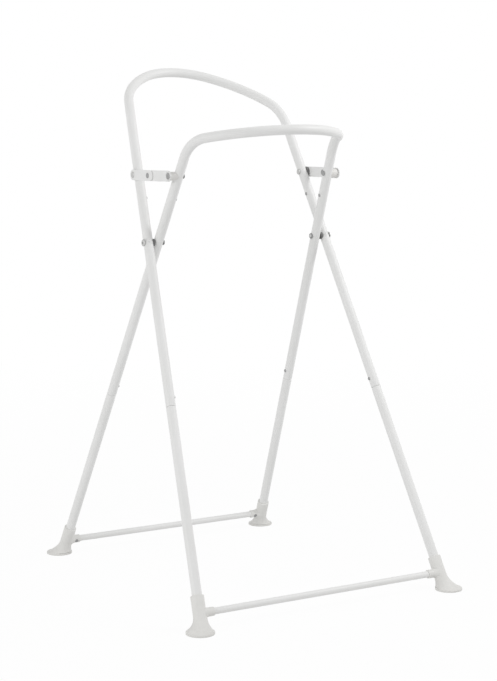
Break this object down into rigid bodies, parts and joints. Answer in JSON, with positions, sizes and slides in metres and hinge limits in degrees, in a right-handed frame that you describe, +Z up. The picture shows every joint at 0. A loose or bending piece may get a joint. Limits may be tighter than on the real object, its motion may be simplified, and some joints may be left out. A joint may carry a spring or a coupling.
{
  "type": "baby bath stand",
  "caption": "Folding X-shaped stand of white tube with a low foot bow and a high head bow that cradle a baby bath at waist height.",
  "frame": {"origin": "on the floor midway between the four feet, below the pivots", "axes": "+Z up, +X across the stand along the pivots, +Y towards the high head bow"},
  "size_m": [0.5876, 0.6856, 0.9824],
  "materials": {
    "frame_paint": "white powder coat on steel tube, satin",
    "foot_plastic": "moulded, fine satin grain",
    "bush_plastic": "moulded, smooth",
    "fastener_steel": "dark zinc plate",
    "bolt_zinc": "bright zinc plate, worn",
    "spacer_plastic": "black moulded spacer",
    "spring_steel": "bright spring strip"
  },
  "bodies": {
    "outer_frame": {"head_bow": "frame_paint", "outer_leg_left": "frame_paint", "outer_leg_right": "frame_paint", "outer_foot_left": "foot_plastic", "outer_foot_right": "foot_plastic", "outer_crossbar": "frame_paint", "outer_foot_screws": "fastener_steel", "outer_spring_left": "spring_steel", "outer_spring_right": "spring_steel", "head_bow_rivets": "fastener_steel", "pivot_bolt_left": "bolt_zinc", "pivot_bolt_right": "bolt_zinc", "pivot_spacer_left": "spacer_plastic", "pivot_spacer_right": "spacer_plastic", "pivot_nut_left": "fastener_steel", "pivot_nut_right": "fastener_steel", "stay_washer_left": "spacer_plastic", "stay_washer_right": "spacer_plastic", "stay_rivet_left": "bolt_zinc", "stay_rivet_right": "bolt_zinc"},
    "inner_frame": {"foot_bow": "frame_paint", "inner_leg_left": "frame_paint", "inner_leg_right": "frame_paint", "inner_foot_left": "foot_plastic", "inner_foot_right": "foot_plastic", "inner_crossbar": "frame_paint", "inner_foot_screws": "fastener_steel", "inner_spring_left": "spring_steel", "inner_spring_right": "spring_steel", "foot_bow_rivets": "fastener_steel", "stay_bush_left": "bush_plastic", "stay_bush_right": "bush_plastic", "stay_bolt_left": "fastener_steel", "stay_bolt_right": "fastener_steel"},
    "rear_stay_left": {"rear_link_left": "frame_paint", "knuckle_rivet_left": "fastener_steel"},
    "front_stay_left": {"front_link_left": "frame_paint", "front_rivet_left": "fastener_steel"},
    "rear_stay_right": {"rear_link_right": "frame_paint", "knuckle_rivet_right": "fastener_steel"},
    "front_stay_right": {"front_link_right": "frame_paint", "front_rivet_right": "fastener_steel"},
    "outer_catch_left": {"outer_button_left": "fastener_steel"},
    "outer_catch_right": {"outer_button_right": "fastener_steel"},
    "inner_catch_left": {"inner_button_left": "fastener_steel"},
    "inner_catch_right": {"inner_button_right": "fastener_steel"}
  },
  "joints": [
    {"name": "fold", "type": "hinge", "parent": "outer_frame", "child": "inner_frame", "pos_m": [0, 0, 0.652], "axis": [-1, 0, 0], "range_deg": [0, 42]},
    {"name": "rear_stay_hinge_left", "type": "hinge", "parent": "outer_frame", "child": "rear_stay_left", "pos_m": [-0.19471, 0.05963, 0.7759], "axis": [-1, 0, 0], "range_deg": [0, 101]},
    {"name": "knuckle_left", "type": "hinge", "parent": "rear_stay_left", "child": "front_stay_left", "pos_m": [-0.19356, 0, 0.7759], "axis": [-1, 0, 0], "range_deg": [-159, 0]},
    {"name": "rear_stay_hinge_right", "type": "hinge", "parent": "outer_frame", "child": "rear_stay_right", "pos_m": [0.19471, 0.05963, 0.7759], "axis": [-1, 0, 0], "range_deg": [0, 101]},
    {"name": "knuckle_right", "type": "hinge", "parent": "rear_stay_right", "child": "front_stay_right", "pos_m": [0.19356, 0, 0.7759], "axis": [-1, 0, 0], "range_deg": [-159, 0]},
    {"name": "outer_catch_slide_left", "type": "slide", "parent": "outer_frame", "child": "outer_catch_left", "axis": [-0.9957, 0.0401, 0.0832], "range_m": [0, 0.0033], "stiffness_N_per_m": 600, "springref_m": -0.002, "deforming": ["outer_spring_left"]},
    {"name": "outer_catch_slide_right", "type": "slide", "parent": "outer_frame", "child": "outer_catch_right", "axis": [0.9957, 0.0401, 0.0832], "range_m": [0, 0.0033], "stiffness_N_per_m": 600, "springref_m": -0.002, "deforming": ["outer_spring_right"]},
    {"name": "inner_catch_slide_left", "type": "slide", "parent": "inner_frame", "child": "inner_catch_left", "axis": [-0.9965, -0.0363, 0.0754], "range_m": [0, 0.0033], "stiffness_N_per_m": 600, "springref_m": -0.002, "deforming": ["inner_spring_left"]},
    {"name": "inner_catch_slide_right", "type": "slide", "parent": "inner_frame", "child": "inner_catch_right", "axis": [0.9965, -0.0363, 0.0754], "range_m": [0, 0.0033], "stiffness_N_per_m": 600, "springref_m": -0.002, "deforming": ["inner_spring_right"]}
  ],
  "couplings": [
    {"joint": "rear_stay_hinge_left", "follows": "fold", "ratio": 2.3835},
    {"joint": "knuckle_left", "follows": "fold", "ratio": -3.7671},
    {"joint": "rear_stay_hinge_right", "follows": "fold", "ratio": 2.3835},
    {"joint": "knuckle_right", "follows": "fold", "ratio": -3.7671}
  ]
}
